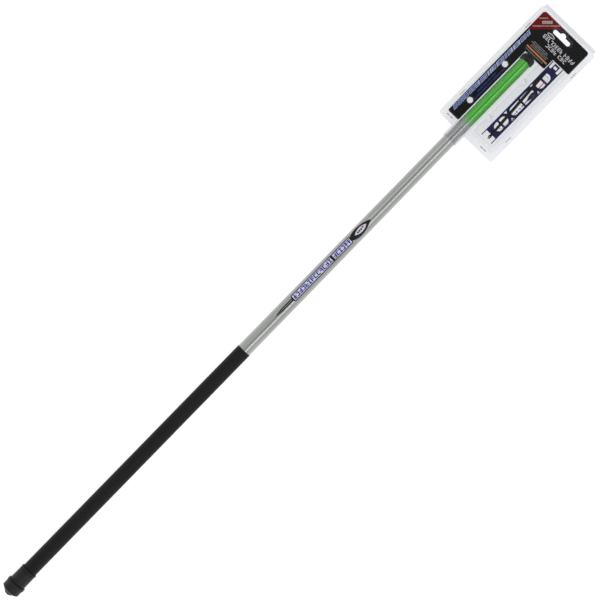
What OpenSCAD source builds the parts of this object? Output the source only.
// Telescopic fishing whip, closed, with its tip end in a stapled clamshell accessory pack.
// The pole's axis is the X axis. The origin is the centre of the butt end face, and the tip is
// towards +X. The clamshell's two films meet at z = 0, and its front faces +Z.

/* [Pole] */
// Distance from the butt end face to the mouth of the butt tube
butt_mouth_x = 940; // [900:5:980]
// Outer radius of the butt tube under and beside the grip
butt_r = 11.05; // [11:0.05:11.1]
// Outer radius of the butt tube at its mouth
butt_mouth_r = 10.3; // [10.2:0.05:10.5]
// Distance from the butt end face to the mouth of the second section
section_2_mouth_x = 1098; // [1095:1:1100]
// Length of the third section
section_3_len = 1071; // [1040:1:1073]
// Length of the tip section, its solid glass end included
tip_len = 1067; // [1040:1:1069]
// Radial running clearance between a section's base ring and the tube around it
ring_gap = 0.05; // [0.03:0.01:0.1]

/* [Butt end] */
// Outer radius of the screw cap's plain band
cap_r = 14.4; // [14:0.1:15]
// Outer radius of the bead around the cap's rim
cap_bead_r = 15.2; // [15:0.1:16]
// Distance from the butt end face to the cap's rim
cap_len = 21.8; // [21:0.1:22]
// Distance from the butt end face to the near end of the collar
collar_x0 = 22.9; // [22.4:0.1:24]
// Radius of the domed plug let into the cap
disc_r = 7; // [5:0.5:7]
// Distance from the butt end face to the end of the collar
collar_end_x = 48; // [45:1:60]
// Outer radius of the grip at the collar
grip_r = 11.6; // [11.5:0.1:13]
// Distance from the butt end face to the end of the grip
grip_end_x = 502.5; // [450:0.5:560]

/* [Tip bung] */
// Outer radius of the bung's head
bung_r = 10.9; // [10.5:0.1:11.2]
// Length of the bung's head
bung_len = 11.3; // [9:0.1:12]

/* [Clamshell] */
// Thickness of the clear film
film = 0.5; // [0.4:0.05:0.6]
// Near edge of the flange along the pole
flange_x0 = 956; // [950:1:960]
// Far edge of the flange, where the fold begins
flange_x1 = 1177.3; // [1176:0.1:1180]
// Edge of the flange on the card's side of the pole
flange_y1 = 41.1; // [40:0.1:45]
// Edge of the flange on the winder's side of the pole
flange_y0 = -68.2; // [-72:0.1:-66]
// Height of the front plateau above the flange
plateau_h = 7.4; // [6.5:0.1:8]
// Outer radius of the channel that holds the pole
channel_r = 12.4; // [12.2:0.1:12.6]
// Near end of the pole channel
channel_x0 = 936.8; // [930:0.1:945]
// Far end of the pole channel
channel_x1 = 1112; // [1111:0.1:1114]

/* [Card and contents] */
// Thickness of the printed card
card_t = 0.4; // [0.3:0.05:0.4]
// Width of the hang slot's straight part
slot_w = 6.4; // [5:0.1:8]
// Length of the hang slot
slot_len = 31.8; // [28:0.1:34]
// Thickness of the rig winder
winder_t = 3; // [2:0.1:3]
// Length of the disgorger
disgorger_len = 132; // [120:1:134]

/* [Hidden] */
$fn = 64;
eps = 0.01;

// Where the tubes begin inside the cap, each a little further in than the one around it
butt_tube_x0 = 9.5;
section_2_x0 = 12;
section_3_x0 = 14;
tip_x0 = 16;

// The butt tube is waisted under the grip, so that the grip stands only a little proud of it
waist_r = butt_r - 0.45;
waist_end_x = grip_end_x - 6;

// Butt tube bore: plain under the grip, wider past the waist, then a taper to the zone where the
// second section jams
butt_bore_r = waist_r - 0.5;
butt_wide_r = butt_r - 0.55;
butt_jam_r = butt_mouth_r - 0.35;
butt_jam_len = 80;
lip_len = 5;
butt_lip_r = butt_jam_r - 0.15;

// Second section
section_2_ring_r = butt_jam_r - ring_gap;
section_2_ring_len = 70;
section_2_base_r = section_2_ring_r - 0.15;
section_2_tip_r = 9.6;
section_2_bore_r = section_2_base_r - 0.6;
section_2_jam_r = section_2_tip_r - 0.6;
section_2_lip_r = section_2_jam_r - 0.3;
section_2_round = 6;

// Third section
section_3_ring_r = section_2_jam_r - ring_gap;
section_3_ring_len = 65;
section_3_base_r = section_2_lip_r - 0.1;
section_3_tip_r = 6.75;
section_3_mouth_x = section_3_x0 + section_3_len;
section_3_bore_r = section_3_base_r - 0.5;
section_3_jam_r = section_3_tip_r - 0.45;
section_3_lip_r = section_3_jam_r - 0.25;

// Tip section: a hollow tube with a solid glass rod spliced into its thin end
tip_ring_r = section_3_jam_r - ring_gap;
tip_ring_len = 60;
tip_base_r = section_3_lip_r - 0.1;
tip_tube_end_x = 700;
tip_tube_end_r = 2.2;
tip_bore_r = tip_base_r - 0.6;
solid_r = 1.55;
solid_end_r = 0.7;
splice_len = 44;
tip_end_x = tip_x0 + tip_len;
connector_len = 11;

// Cap and thread
thread_r = 12.3;
thread_gap = 0.05;
seal_x0 = 8;
seal_t = 1.4;

// Clamshell
mid_gap = 0.2;
film_top = mid_gap + film;
plateau = [966.4, 1174, -59.7, 35];
tray = [971, 1133, -56, -14.6];
stud_x = [1001, 1075.1];
stud_y = 19.4;
stud_r = 5;
socket_r = 3.5;
fold_x1 = 1183;
fold_y = [-64.2, 37.2];
rib_x = [1000, 1052, 1104];
rib_y = [-43.6, -26];

// Hang slot
slot_x = 1161.2;
slot_y1 = 2.1;
slot_bump_y = -13.5;
slot_bump_r = 4.8;
slot_bump_dx = 2.6;
slot_rim = 1.5;

// Winder
winder_y = -38.4;
winder_half = 10.45;
winder_x0 = 976.8;
winder_bar_x = [986.6, 1117.4];
winder_x1 = 1128.2;
window_half = 6.6;
windows = [[995.4, 1020.7], [1028.6, 1076], [1083.6, 1109.7]];
crossbars = [1007.6, 1052, 1096.7];
crossbar_w = 3;

// Rig
rig_x = 1062;
rig_y = -42;
rig_angle = 1.3;
stem_r = 0.4;
rig_z = 3.35;
disgorger_y = [-39.6, -31.8];
disgorger_x0 = 978;
disgorger_z = 4;

// ---- Shapes that repeat ----

// A solid of revolution about the X axis. Each point is [x, r].
module turned(points) {
    rotate([0, 90, 0]) rotate_extrude() polygon([for (p = points) [p[1], p[0]]]);
}

// A tube about the X axis. Both lists run from the butt to the tip, and each point is [x, r].
module turned_tube(outside, inside) {
    turned(concat(outside, [for (i = [len(inside) - 1 : -1 : 0]) inside[i]]));
}

// A rectangle [x0, x1, y0, y1] with round corners, made smaller all round by inset.
module round_rect(box, r, inset = 0) {
    x0 = box[0] + inset;
    x1 = box[1] - inset;
    y0 = box[2] + inset;
    y1 = box[3] - inset;
    c = max(r - inset, 0.3);
    translate([x0 + c, y0]) square([x1 - x0 - 2 * c, y1 - y0]);
    translate([x0, y0 + c]) square([x1 - x0, y1 - y0 - 2 * c]);
    for (x = [x0 + c, x1 - c], y = [y0 + c, y1 - c]) translate([x, y]) circle(c);
}

// A flat solid with the children's outline, from z0 to z1.
module slab(z0, z1) {
    translate([0, 0, z0]) linear_extrude(z1 - z0) children();
}

// ---- Pole ----

module butt_tube() {
    jam_x = butt_mouth_x - butt_jam_len;
    color([0.66, 0.67, 0.65]) turned_tube(
        [[butt_tube_x0, waist_r], [waist_end_x, waist_r], [grip_end_x, butt_r],
         [butt_mouth_x, butt_mouth_r]],
        [[butt_tube_x0, butt_bore_r], [waist_end_x, butt_bore_r], [grip_end_x, butt_wide_r],
         [jam_x, butt_jam_r],
         [butt_mouth_x - lip_len, butt_jam_r], [butt_mouth_x - lip_len, butt_lip_r],
         [butt_mouth_x, butt_lip_r]]);
}

module grip_sleeve() {
    end_r = grip_r - 0.16;
    color([0.14, 0.14, 0.15]) turned_tube(
        [[collar_end_x, grip_r - 0.3], [collar_end_x + 0.6, grip_r], [grip_end_x - 0.3, end_r],
         [grip_end_x, end_r - 0.2]],
        [[collar_end_x, waist_r], [waist_end_x, waist_r], [grip_end_x, butt_r]]);
}

// The collar has a groove before the bead at its grip end.
module butt_collar() {
    bead_x = collar_end_x - 2.6;
    groove_r = 12;
    color([0.17, 0.17, 0.18]) turned_tube(
        [[collar_x0, 13], [collar_x0 + 0.4, 13.2], [bead_x - 1.3, 12.9], [bead_x - 1.1, groove_r],
         [bead_x - 0.1, groove_r], [bead_x + 0.2, 13.1], [bead_x + 0.6, 13.3],
         [collar_end_x - 0.7, 13.3], [collar_end_x, 12.6]],
        [[collar_x0, waist_r], [collar_end_x, waist_r]]);
}

module thread_ring() {
    color([0.2, 0.2, 0.21]) turned_tube(
        [[butt_tube_x0, thread_r - 0.5], [butt_tube_x0 + 0.5, thread_r], [cap_len - 1.5, thread_r],
         [cap_len - 1, thread_r - 0.4], [collar_x0, thread_r - 0.4]],
        [[butt_tube_x0, waist_r], [collar_x0, waist_r]]);
}

// The cap has a rounded shoulder, a plain band and a bead around its rim.
module butt_cap() {
    band_x1 = 15.4;
    well_r = thread_r + thread_gap;
    color([0.17, 0.17, 0.18]) difference() {
        turned([[3, 0], [3, disc_r + 0.4], [6.4, 12.7], [7.2, 13.8], [7.9, cap_r], [band_x1, cap_r],
                [band_x1 + 2, cap_bead_r], [cap_len - 0.6, cap_bead_r],
                [cap_len, cap_bead_r - 0.6], [cap_len, 0]]);
        translate([seal_x0, 0, 0]) rotate([0, 90, 0]) cylinder(h = cap_len, r = well_r);
        translate([2, 0, 0]) rotate([0, 90, 0]) cylinder(h = 4, r = 4);
    }
}

// The plug has a domed head and a peg that is pressed into the cap.
module cap_end_disc() {
    flat_r = 2.5;
    peg_r = 4;
    color([0.15, 0.15, 0.16])
        turned([[0, 0], [0, flat_r], [0.5, disc_r - 2.4], [1.4, disc_r - 0.9], [2.4, disc_r - 0.1],
                [3, disc_r], [3, peg_r], [6, peg_r], [6, 0]]);
}

module cap_seal() {
    color([0.1, 0.1, 0.1]) turned_tube(
        [[seal_x0, thread_r - 0.2], [seal_x0 + seal_t, thread_r - 0.2]],
        [[seal_x0, thread_r - 4], [seal_x0 + seal_t, thread_r - 4]]);
}

module section_2_tube() {
    ring_x = section_2_x0 + section_2_ring_len;
    round_x = section_2_mouth_x - section_2_round;
    color([0.35, 0.62, 0.32]) turned_tube(
        [[section_2_x0, section_2_ring_r], [ring_x, section_2_ring_r],
         [ring_x + 1, section_2_base_r], [round_x, section_2_tip_r],
         [round_x + 3, section_2_tip_r - 0.1], [round_x + 5, section_2_tip_r - 0.3],
         [section_2_mouth_x, section_2_tip_r - 0.6]],
        [[section_2_x0, section_2_bore_r], [round_x - 70, section_2_jam_r],
         [round_x - 2, section_2_jam_r], [round_x - 1, section_2_lip_r],
         [section_2_mouth_x, section_2_lip_r]]);
}

module section_3_tube() {
    ring_x = section_3_x0 + section_3_ring_len;
    lip_x = section_3_mouth_x - lip_len;
    color([0.35, 0.62, 0.32]) turned_tube(
        [[section_3_x0, section_3_ring_r], [ring_x, section_3_ring_r],
         [ring_x + 1, section_3_base_r], [lip_x, section_3_tip_r],
         [section_3_mouth_x, section_3_tip_r]],
        [[section_3_x0, section_3_bore_r], [lip_x - 65, section_3_jam_r], [lip_x, section_3_jam_r],
         [lip_x + 0.5, section_3_lip_r], [section_3_mouth_x, section_3_lip_r]]);
}

module tip_tube() {
    ring_x = tip_x0 + tip_ring_len;
    color([0.3, 0.55, 0.28]) turned_tube(
        [[tip_x0, tip_ring_r], [ring_x, tip_ring_r], [ring_x + 1, tip_base_r],
         [tip_tube_end_x - 1, tip_tube_end_r], [tip_tube_end_x, tip_tube_end_r - 0.3]],
        [[tip_x0, tip_bore_r], [tip_tube_end_x - splice_len, solid_r],
         [tip_tube_end_x, solid_r]]);
}

module solid_tip() {
    rod_end_x = tip_end_x - 3;
    color([0.85, 0.85, 0.8]) turned(
        [[tip_tube_end_x - splice_len, 0], [tip_tube_end_x - splice_len, solid_r],
         [tip_tube_end_x + 2, solid_r], [rod_end_x, solid_end_r], [rod_end_x, 0]]);
}

module line_connector() {
    x0 = tip_end_x - connector_len;
    socket_r = solid_end_r + 0.06;
    eye_r = 0.55;
    color([0.75, 0.15, 0.12]) difference() {
        turned([[x0, 0], [x0, 1.2], [x0 + 6, 1.5], [tip_end_x - 0.6, 1.5], [tip_end_x, 0.9],
                [tip_end_x, 0]]);
        translate([x0 - 1, 0, 0]) rotate([0, 90, 0]) cylinder(h = connector_len - 2, r = socket_r);
        translate([tip_end_x - 1.4, 3, 0]) rotate([90, 0, 0]) cylinder(h = 6, r = eye_r, $fn = 24);
    }
}

module tip_bung() {
    spigot_r = section_2_lip_r - ring_gap;
    x1 = section_2_mouth_x + bung_len;
    crown = 5.5;
    steps = 10;
    color([0.12, 0.12, 0.13]) difference() {
        turned(concat(
            [[section_2_mouth_x - 11, 0], [section_2_mouth_x - 11, spigot_r - 0.6],
             [section_2_mouth_x - 10, spigot_r], [section_2_mouth_x, spigot_r],
             [section_2_mouth_x, bung_r]],
            [for (i = [0 : steps])
                [x1 - crown + crown * sin(90 * i / steps), bung_r - 5 + 5 * cos(90 * i / steps)]],
            [[x1, 0]]));
        translate([section_2_mouth_x - 12, 0, 0]) rotate([0, 90, 0]) cylinder(h = 14, r = 6.6);
    }
}

// ---- Clamshell pack ----

module flange_outline() {
    round_rect([flange_x0, flange_x1, flange_y0, flange_y1], 4);
}

// The outside of the pole channel, or its inside when inset is the film's thickness.
module channel_form(inset) {
    r = channel_r - inset;
    x0 = channel_x0 - (inset > 0 ? 1 : 0);
    x1 = channel_x1 - inset;
    round_r = 5.5 - inset;
    turned([[x0, 0], [x0, r], [x1 - round_r, r], [x1 - 0.3 * round_r, r - 0.3 * round_r],
            [x1, r - round_r], [x1, 0]]);
}

module channel_half(side, inset) {
    z0 = side > 0 ? mid_gap : -20;
    intersection() {
        channel_form(inset);
        translate([channel_x0 - 5, -20, z0]) cube([200, 40, 20 - mid_gap]);
    }
}

module slot_outline(grow = 0) {
    r = slot_w / 2 + grow;
    translate([slot_x - r, slot_y1 - slot_len + slot_w / 2])
        square([2 * r, slot_len - slot_w]);
    for (y = [slot_y1 - slot_w / 2, slot_y1 - slot_len + slot_w / 2])
        translate([slot_x, y]) circle(r);
    translate([slot_x + slot_bump_dx, slot_bump_y]) circle(slot_bump_r + grow);
}

// The formed pit that brings a shell's film to the middle plane round a stud.
module stud_pit(x, y, z_open, z_mid, r) {
    translate([x, y, min(z_open, z_mid)]) cylinder(h = abs(z_open - z_mid), r = r);
}

// The front plateau is formed down to the middle plane around the hang slot.
module front_shell() {
    top = plateau_h;
    color([0.88, 0.89, 0.9, 0.35]) difference() {
        union() {
            difference() {
                union() {
                    slab(mid_gap, film_top) flange_outline();
                    slab(mid_gap, top) round_rect(plateau, 4.5);
                    channel_half(1, 0);
                }
                slab(mid_gap - 1, top - film) round_rect(plateau, 4.5, film);
                channel_half(1, film);
                translate([channel_x0 - 1, -channel_r + film, -1])
                    cube([channel_x1 - channel_x0 - 6, 2 * (channel_r - film), mid_gap + film + 1]);
            }
            for (x = stud_x, y = [-stud_y, stud_y]) stud_pit(x, y, top, mid_gap, stud_r);
            slab(mid_gap, top) slot_outline(slot_rim + film);
        }
        for (x = stud_x, y = [-stud_y, stud_y])
            stud_pit(x, y, top + 1, film_top, stud_r - film);
        slab(film_top, top + 1) slot_outline(slot_rim);
        slab(mid_gap - 1, top + 1) slot_outline();
    }
}

module back_shell() {
    floor_z = -channel_r;
    color([0.88, 0.89, 0.9, 0.35]) difference() {
        union() {
            difference() {
                union() {
                    slab(-film_top, -mid_gap) flange_outline();
                    slab(floor_z, -mid_gap) round_rect(tray, 4);
                    channel_half(-1, 0);
                }
                slab(floor_z + film, 1) round_rect(tray, 4, film);
                channel_half(-1, film);
                translate([channel_x0 - 1, -channel_r + film, -film_top - eps])
                    cube([channel_x1 - channel_x0 - 6, 2 * (channel_r - film), 2]);
            }
            for (x = stud_x) stud_pit(x, -stud_y, floor_z, -mid_gap, stud_r);
            for (x = stud_x) stud_pit(x, stud_y, -3, -mid_gap, stud_r);
            for (x = rib_x) rib(x, 0);
        }
        for (x = stud_x) {
            stud_pit(x, -stud_y, floor_z - 1, -2.8, stud_r - film);
            for (y = [-stud_y, stud_y]) stud_pit(x, y, 0, -2.3, socket_r);
        }
        for (x = rib_x) rib(x, film);
        slab(-film_top - 1, 1) slot_outline();
    }
}

// A ridge formed up from the tray's floor, which the winder rests on.
module rib(x, inset) {
    top = -winder_t / 2 - 0.05;
    translate([x - 3 + inset, rib_y[0] + inset, -channel_r - (inset > 0 ? 1 : 0)])
        cube([6 - 2 * inset, rib_y[1] - rib_y[0] - 2 * inset,
              top + channel_r - inset + (inset > 0 ? 1 : 0)]);
}

module shell_fold() {
    end_x = fold_x1 - film_top;
    y_len = fold_y[1] - fold_y[0];
    color([0.86, 0.87, 0.89, 0.5]) difference() {
        union() {
            translate([flange_x1, fold_y[0], -film_top]) cube([end_x - flange_x1, y_len, 2 * film_top]);
            translate([end_x, fold_y[1], 0]) rotate([90, 0, 0]) cylinder(h = y_len, r = film_top);
        }
        translate([flange_x1 - 1, fold_y[0] - 1, -mid_gap])
            cube([end_x - flange_x1 + 1, y_len + 2, 2 * mid_gap]);
        translate([end_x, fold_y[1] + 1, 0]) rotate([90, 0, 0]) cylinder(h = y_len + 2, r = mid_gap);
    }
}

// A strip beside the pole, a block past its end and the hang panel, which has the largest corners.
module card_outline() {
    top_y = 32.6;
    panel_x1 = 1173.3;
    round_rect([967.7, panel_x1 - 10, 11.3, top_y], 2.2);
    round_rect([1110, panel_x1 - 10, -26.9, top_y], 2.2);
    round_rect([1129.2, panel_x1 - 10, -59, top_y], 2.2);
    round_rect([1140, panel_x1, -59, top_y], 4.5);
}

module hang_card() {
    color([0.11, 0.11, 0.11]) difference() {
        slab(-card_t / 2, card_t / 2) card_outline();
        slab(-1, 1) slot_outline(0.3);
        for (x = stud_x) translate([x, stud_y, -1]) cylinder(h = 2, r = stud_r - 0.4);
    }
}

// One staple. Its crown lies on the front flange, and its legs are bent in behind the back flange.
module staple(x, y, angle) {
    crown = 11;
    wire = 0.45;
    top = film_top;
    translate([x, y, 0]) rotate([0, 0, angle]) {
        translate([-crown / 2, -wire / 2, top]) cube([crown, wire, wire]);
        for (side = [-1, 1]) {
            leg_x = side * (crown / 2 - wire / 2) - wire / 2;
            translate([leg_x, -wire / 2, -top - wire]) cube([wire, wire, 2 * top + wire + eps]);
            translate([side > 0 ? leg_x - 3 : leg_x, -wire / 2, -top - wire])
                cube([3 + wire, wire, wire]);
        }
    }
}

module staples() {
    color([0.6, 0.6, 0.62]) {
        staple(963.6, 24.6, 90);
        staple(962.8, -44.9, 90);
        staple(1001.9, 35.5, 0);
        staple(1140.3, 35.5, 0);
        staple(998.3, -62.4, 0);
        staple(1133.3, -64.9, 0);
    }
}

// ---- Contents of the pack ----

module winder_window(x0, x1) {
    round_rect([x0, x1, winder_y - window_half, winder_y + window_half], 6.4);
}

// The three-cornered opening between two windows' rounded ends and a rail.
module winder_gusset(x, side) {
    base_y = winder_y + side * 8.35;
    polygon([[x - 3, base_y], [x + 3, base_y], [x, base_y - side * 4.05]]);
}

module rig_winder() {
    gusset_x = [for (i = [0, 1]) (windows[i][1] + windows[i + 1][0]) / 2];
    rail_w = 1.4;
    tab = [[1117, 1127.6], [winder_y - 4.8, winder_y + 4.8]];
    color([0.11, 0.11, 0.36]) slab(-winder_t / 2, winder_t / 2) {
        difference() {
            union() {
                translate([winder_bar_x[0], winder_y - winder_half])
                    square([winder_bar_x[1] - winder_bar_x[0], 2 * winder_half]);
                for (side = [0, 1])
                    translate([winder_x0, winder_y - winder_half + side * (2 * winder_half - rail_w)])
                        square([winder_x1 - winder_x0, rail_w]);
                translate([tab[0][0], tab[1][0]])
                    square([tab[0][1] - tab[0][0], tab[1][1] - tab[1][0]]);
            }
            for (w = windows) winder_window(w[0], w[1]);
            for (x = gusset_x, side = [-1, 1]) winder_gusset(x, side);
            translate([1120.4, winder_y - 2.8]) square([4.7, 5.6]);
        }
        for (x = crossbars)
            translate([x - crossbar_w / 2, winder_y - window_half - 0.5])
                square([crossbar_w, 2 * window_half + 1]);
    }
}

// The hank of line that runs round the winder from one end bar to the other, and the trace from
// the hook to the float's lower sleeve.
module wound_line() {
    y0 = winder_y - 7.9;
    wide = 1;
    thick = 0.35;
    face = winder_t / 2;
    color([0.8, 0.82, 0.8]) {
        difference() {
            translate([winder_bar_x[0] - thick, y0, -face - thick])
                cube([winder_bar_x[1] - winder_bar_x[0] + 2 * thick, wide, 2 * (face + thick)]);
            translate([winder_bar_x[0], y0 - 1, -face])
                cube([winder_bar_x[1] - winder_bar_x[0], wide + 2, 2 * face]);
        }
        along_rig(1014) rotate([0, 90, 0]) cylinder(h = 32, r = 0.15, $fn = 24);
    }
}

// The float and its line lie along one straight axis, a little askew in the pack.
module along_rig(x) {
    translate([rig_x, rig_y, rig_z]) rotate([0, 0, rig_angle])
        translate([x - rig_x, 0, 0]) children();
}

module float_body() {
    r = 3.45;
    color([0.12, 0.16, 0.12]) along_rig(0) turned_tube(
        [[1058, 0.9], [1060.5, 1.6], [1064, 2.8], [1067.5, r - 0.05], [1070.5, r], [1072, 3.15],
         [1073.2, 2.7], [1074.2, 2.1], [1075.6, 1.5], [1077.5, 0.8]],
        [[1058, stem_r], [1077.5, stem_r]]);
}

module float_stem() {
    color([0.12, 0.12, 0.12]) along_rig(1046) rotate([0, 90, 0]) cylinder(h = 24, r = stem_r);
}

module float_antenna() {
    color([0.75, 0.08, 0.14]) {
        along_rig(1070) rotate([0, 90, 0]) cylinder(h = 7.5, r = stem_r);
        along_rig(1077.5) rotate([0, 90, 0]) cylinder(h = 20.5, r = 0.7);
    }
}

module float_sleeves() {
    color([0.1, 0.1, 0.1]) for (x = [1047, 1054]) along_rig(x) rotate([0, 90, 0])
        difference() {
            cylinder(h = 3, r = 0.8);
            translate([0, 0, -1]) cylinder(h = 5, r = stem_r);
        }
}

module split_shot() {
    shots = [[1031, 0.7], [1033.2, 0.7], [1036.2, 1.3], [1042.7, 1.1]];
    color([0.2, 0.2, 0.21]) for (shot = shots)
        along_rig(shot[0]) difference() {
            rotate([0, 0, -90]) sphere(r = shot[1]);
            translate([-2, 0, -0.1]) cube([4, 2, 0.2]);
        }
}

module rig_hook() {
    wire_r = 0.3;
    shank_r = 0.34;
    bend_r = 2;
    hook_x = 1003;
    hook_y = -41.9;
    z = winder_t / 2 + 0.5;
    color([0.7, 0.65, 0.5]) translate([hook_x, hook_y, z]) {
        rotate([0, 0, 90]) rotate_extrude(angle = 180) translate([bend_r, 0]) circle(wire_r, $fn = 24);
        translate([-0.2, -bend_r, 0]) rotate([0, 90, 0]) cylinder(h = 9, r = shank_r, $fn = 24);
        translate([-0.2, bend_r, 0]) rotate([0, 90, 0]) cylinder(h = 4, r1 = shank_r, r2 = 0.08);
    }
}

module disgorger() {
    dy = disgorger_y[1] - disgorger_y[0];
    run = sqrt(disgorger_len * disgorger_len - dy * dy);
    color([0.12, 0.16, 0.12])
        translate([disgorger_x0, disgorger_y[0], disgorger_z]) rotate([0, 0, atan2(dy, run)])
        difference() {
            turned([[0, 0], [0.2, 1.2], [2.5, 2.2], [5.5, 2.3], [8.5, 1.2], [16, 1.2], [18, 2],
                    [34, 2.3], [disgorger_len - 1, 2.3], [disgorger_len, 1.5], [disgorger_len, 0]]);
            translate([-1, -0.25, -3]) cube([6, 0.5, 6]);
        }
}

butt_tube();
grip_sleeve();
butt_collar();
thread_ring();
butt_cap();
cap_end_disc();
cap_seal();
section_2_tube();
section_3_tube();
tip_tube();
solid_tip();
line_connector();
tip_bung();
front_shell();
back_shell();
shell_fold();
hang_card();
staples();
rig_winder();
wound_line();
float_body();
float_stem();
float_antenna();
float_sleeves();
split_shot();
rig_hook();
disgorger();
